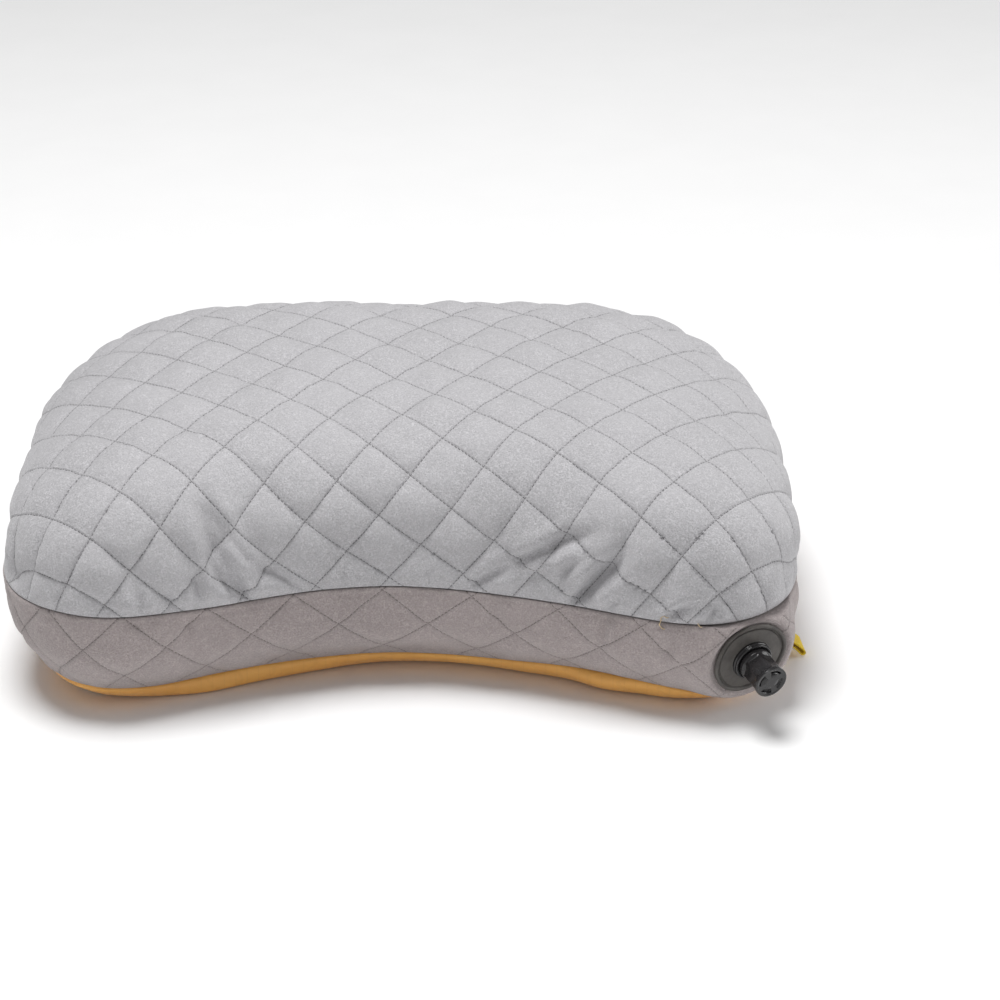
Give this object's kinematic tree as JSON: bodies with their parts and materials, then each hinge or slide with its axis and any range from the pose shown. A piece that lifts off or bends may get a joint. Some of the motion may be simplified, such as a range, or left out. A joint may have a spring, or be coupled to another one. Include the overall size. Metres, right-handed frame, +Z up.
{
  "type": "camp pillow",
  "caption": "Kidney-shaped inflatable travel pillow with quilted, down-topped crown, quilted gusset, nylon base, inner air core and twist valve on the front lobe.",
  "frame": {"origin": "on the flat base, z = 0, midway between the left and right sides and about the middle of the outline front to back", "axes": "+Z up out of the base, -Y out of the concave neck side, +X towards the lobe that carries the valve, along the pillow's length"},
  "size_m": [0.3807, 0.2716, 0.1227],
  "materials": {
    "brushed_microfibre_top": "brushed, matt, quilted in diamonds",
    "brushed_microfibre_gusset": "brushed, matt, quilted in diamonds",
    "down_fill": "loose down, matt",
    "batting": "needled fibre, matt",
    "lining": "fine plain weave, low sheen",
    "air_core_film": "coated film, low sheen",
    "base_nylon": "fine ripstop weave, satin sheen",
    "seam_binding": "woven tape, matt",
    "valve_plastic": "moulded, glossy",
    "valve_flange_pvc": "soft moulded, satin",
    "seal_rubber": "moulded, matt",
    "tab_webbing": "narrow woven webbing, matt"
  },
  "bodies": {
    "cover": {"gusset_face_fabric": "brushed_microfibre_gusset", "gusset_batting": "batting", "gusset_lining": "lining", "base_panel": "base_nylon", "upper_seam_binding": "seam_binding", "lower_seam_binding": "seam_binding", "air_core_lower_film": "air_core_film", "valve_flange": "valve_flange_pvc", "valve_stem": "valve_plastic"},
    "crown": {"top_face_fabric": "brushed_microfibre_top", "top_down_fill": "down_fill", "top_lining": "lining", "air_core_upper_film": "air_core_film"},
    "seal": {"valve_o_ring": "seal_rubber"},
    "nozzle": {"valve_nozzle": "valve_plastic"},
    "tab": {"tab_loop": "tab_webbing"}
  },
  "joints": [
    {"name": "press", "type": "slide", "parent": "cover", "child": "crown", "axis": [0, 0, 1], "range_m": [-0.03, 0], "stiffness_N_per_m": 1500, "deforming": ["top_face_fabric", "top_down_fill", "top_lining", "air_core_upper_film"]},
    {"name": "nozzle_lift", "type": "slide", "parent": "cover", "child": "seal", "axis": [0.433, -0.8871, -0.16], "range_m": [0, 0.0025]},
    {"name": "nozzle_twist", "type": "hinge", "parent": "seal", "child": "nozzle", "pos_m": [0.16, -0.1212, 0.033], "axis": [0.433, -0.8871, -0.16], "range_deg": [0, 120]},
    {"name": "tab_flex", "type": "hinge", "parent": "cover", "child": "tab", "pos_m": [0.17051, -0.05797, 0.01], "axis": [-0.0166, -0.9999, 0], "range_deg": [-4, 30], "stiffness_Nm_per_rad": 0.004}
  ],
  "couplings": [
    {"joint": "nozzle_twist", "follows": "nozzle_lift", "rad_per_m": 837}
  ]
}
